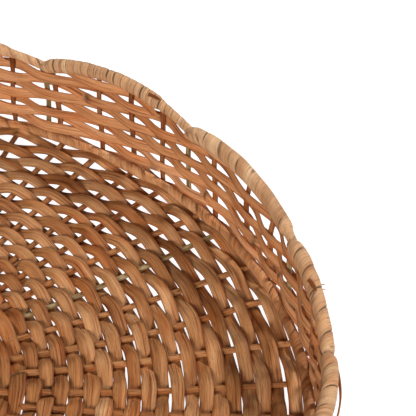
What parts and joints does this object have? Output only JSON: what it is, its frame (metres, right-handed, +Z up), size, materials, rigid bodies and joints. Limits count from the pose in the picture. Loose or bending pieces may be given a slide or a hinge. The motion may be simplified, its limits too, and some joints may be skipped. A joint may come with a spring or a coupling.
{
  "type": "winnowing basket",
  "caption": "Round flat-bottomed open-weave basket of flat strips on thin ribs, with a low upright woven wall and a scalloped cane-bound rim.",
  "frame": {"origin": "centre of the underside, on the surface the basket rests on", "axes": "+Z up through the open top; +X and +Y lie in the base, the angle of one rim valley being 4.4 degrees from +X"},
  "size_m": [0.5921, 0.5925, 0.0798],
  "materials": {
    "base_strip": "dry split willow or rattan strip, brown, faint sheen",
    "wall_strip": "dry split strip, reddish brown, faint sheen",
    "hoop_cane": "peeled cane, honey, faint sheen",
    "rim_cane": "peeled split cane binding, light honey, satin",
    "rod": "round peeled rod, orange-brown, satin"
  },
  "bodies": {
    "root": {"base_ribs": "rod", "base_row_01": "base_strip", "base_row_02": "base_strip", "base_row_03": "base_strip", "base_row_04": "base_strip", "base_row_05": "base_strip", "base_row_06": "base_strip", "base_row_07": "base_strip", "base_row_08": "base_strip", "base_row_09": "base_strip", "base_row_10": "base_strip", "base_row_11": "base_strip", "base_row_12": "base_strip", "base_row_13": "base_strip", "base_row_14": "base_strip", "base_row_15": "base_strip", "base_row_16": "base_strip", "base_row_17": "base_strip", "base_row_18": "base_strip", "base_row_19": "base_strip", "base_row_20": "base_strip", "base_row_21": "base_strip", "base_row_22": "base_strip", "base_row_23": "base_strip", "base_row_24": "base_strip", "base_row_25": "base_strip", "base_row_26": "base_strip", "base_row_27": "base_strip", "foot_hoop": "hoop_cane", "wall_row_01": "wall_strip", "wall_row_02": "wall_strip", "wall_row_03": "wall_strip", "wall_row_04": "wall_strip", "wall_row_05": "wall_strip", "wall_row_06": "wall_strip", "wall_row_07": "wall_strip", "wall_row_08": "wall_strip", "rim_lobe_01": "rim_cane", "rim_lobe_02": "rim_cane", "rim_lobe_03": "rim_cane", "rim_lobe_04": "rim_cane", "rim_lobe_05": "rim_cane", "rim_lobe_06": "rim_cane", "rim_lobe_07": "rim_cane", "rim_lobe_08": "rim_cane", "rim_lobe_09": "rim_cane", "rim_lobe_10": "rim_cane", "rim_lobe_11": "rim_cane", "rim_lobe_12": "rim_cane", "rim_lobe_13": "rim_cane", "rim_lobe_14": "rim_cane", "rim_lobe_15": "rim_cane"}
  },
  "joints": []
}
